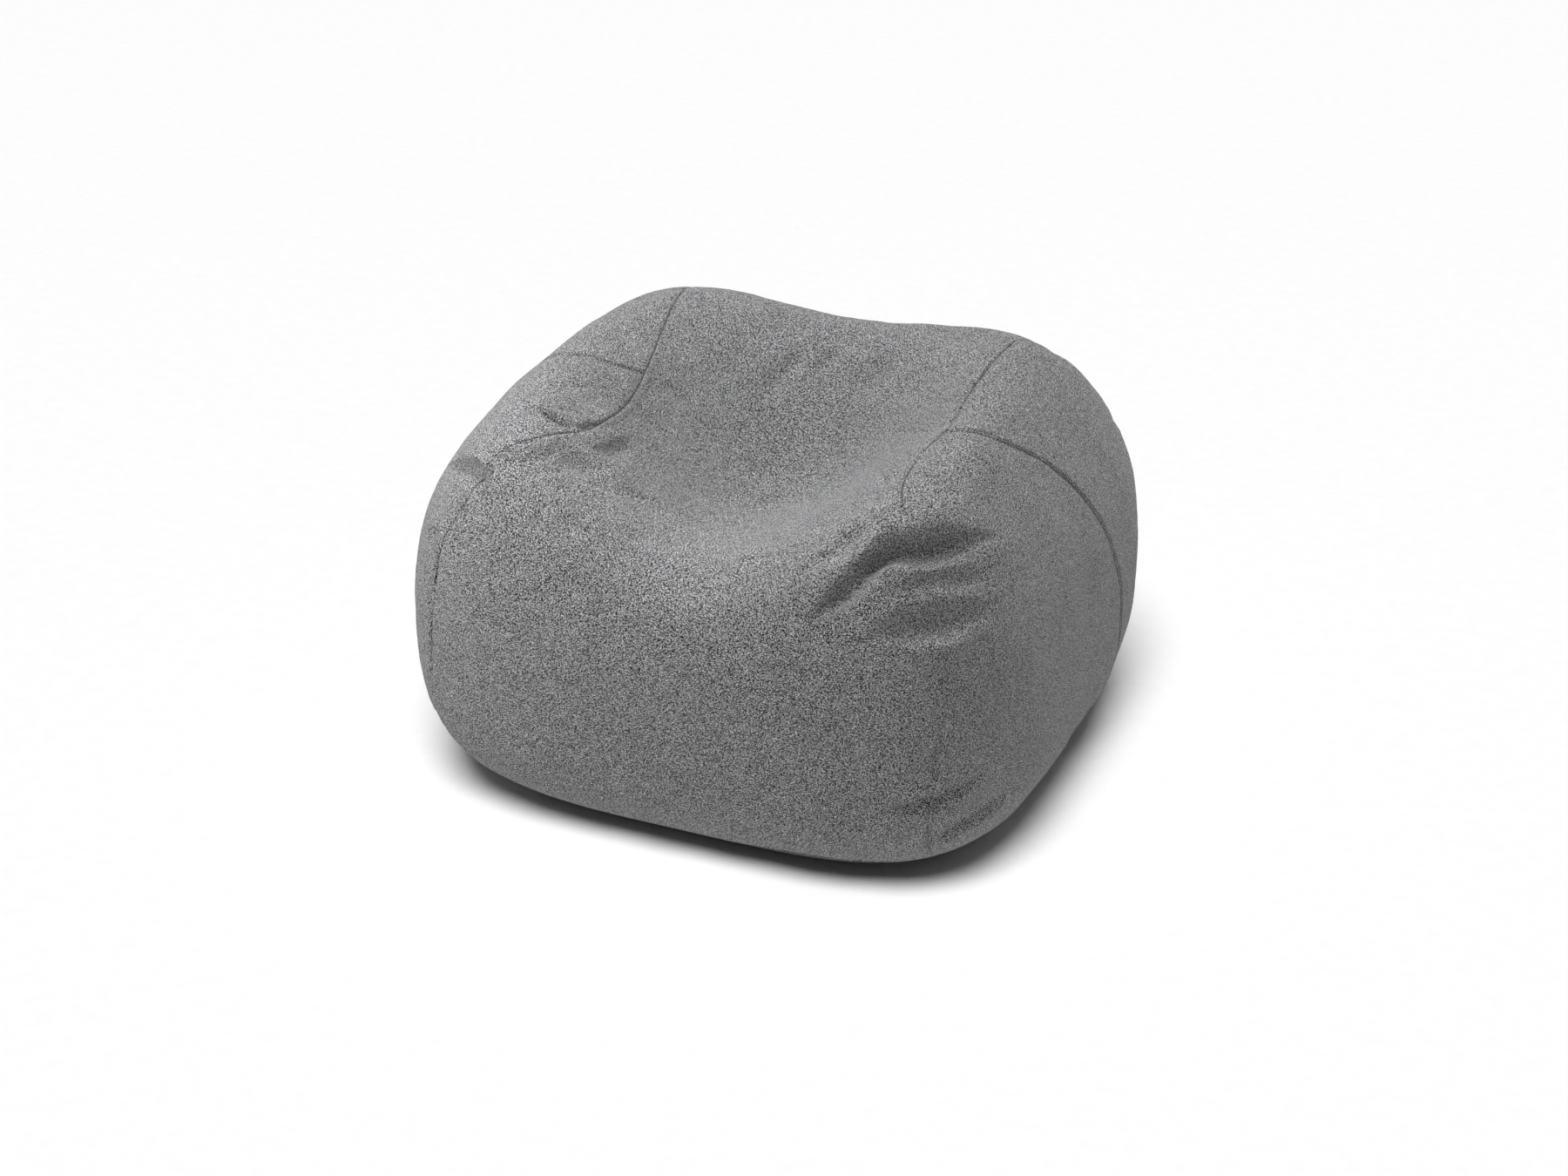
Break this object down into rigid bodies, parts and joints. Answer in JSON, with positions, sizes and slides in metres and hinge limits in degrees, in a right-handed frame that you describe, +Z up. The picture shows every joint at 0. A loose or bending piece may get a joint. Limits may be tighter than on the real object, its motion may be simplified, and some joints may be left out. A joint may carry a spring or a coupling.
{
  "type": "bean bag chair",
  "caption": "Low rounded bean bag chair with a hollowed seat between soft arms and a raised back, sewn from panels over a zipped liner of beads.",
  "frame": {"origin": "middle of the bag's footprint, on the floor", "axes": "+X to the right across the bag as seen from the front, +Y from the front to the back rest, +Z up"},
  "size_m": [0.9, 0.813, 0.5905],
  "materials": {
    "cover_fabric": "grey nubby upholstery cloth, matt",
    "base_fabric": "grey nubby upholstery cloth, matt, as on the cover",
    "liner_fabric": "plain off-white lining cloth, matt",
    "beads": "white expanded beads, matt",
    "zip_tape": "dark grey woven tape, matt",
    "zip_teeth": "dark moulded plastic, satin",
    "zip_metal": "nickel-plated die casting, satin"
  },
  "bodies": {
    "bag": {"seat_panel": "cover_fabric", "left_arm_panel": "cover_fabric", "right_arm_panel": "cover_fabric", "left_rear_panel": "cover_fabric", "right_rear_panel": "cover_fabric", "back_upper_panel": "cover_fabric", "back_lower_panel": "cover_fabric", "base_panel": "base_fabric", "liner_top": "liner_fabric", "liner_base_front": "liner_fabric", "liner_base_rear": "liner_fabric", "bead_fill": "beads", "cover_zip_tape_upper": "zip_tape", "cover_zip_tape_lower": "zip_tape", "cover_zip_teeth_upper": "zip_teeth", "cover_zip_teeth_lower": "zip_teeth", "cover_zip_stops": "zip_metal", "liner_zip_tape_front": "zip_tape", "liner_zip_tape_rear": "zip_tape", "liner_zip_teeth_front": "zip_teeth", "liner_zip_teeth_rear": "zip_teeth", "liner_zip_stops": "zip_metal"},
    "cover_zip_slider": {"cover_zip_slider": "zip_metal"},
    "cover_zip_pull": {"cover_zip_pull": "zip_metal"},
    "liner_zip_slider": {"liner_zip_slider": "zip_metal"}
  },
  "joints": [
    {"name": "cover_zip_travel", "type": "slide", "parent": "bag", "child": "cover_zip_slider", "axis": [-1, 0, 0], "range_m": [0, 0.414]},
    {"name": "cover_zip_pull_swing", "type": "hinge", "parent": "cover_zip_slider", "child": "cover_zip_pull", "pos_m": [0.207, 0.38694, 0.11975], "axis": [0, -0.3093, -0.9509], "range_deg": [0, 170]},
    {"name": "liner_zip_travel", "type": "slide", "parent": "bag", "child": "liner_zip_slider", "axis": [1, 0, 0], "range_m": [0, 0.364]}
  ]
}
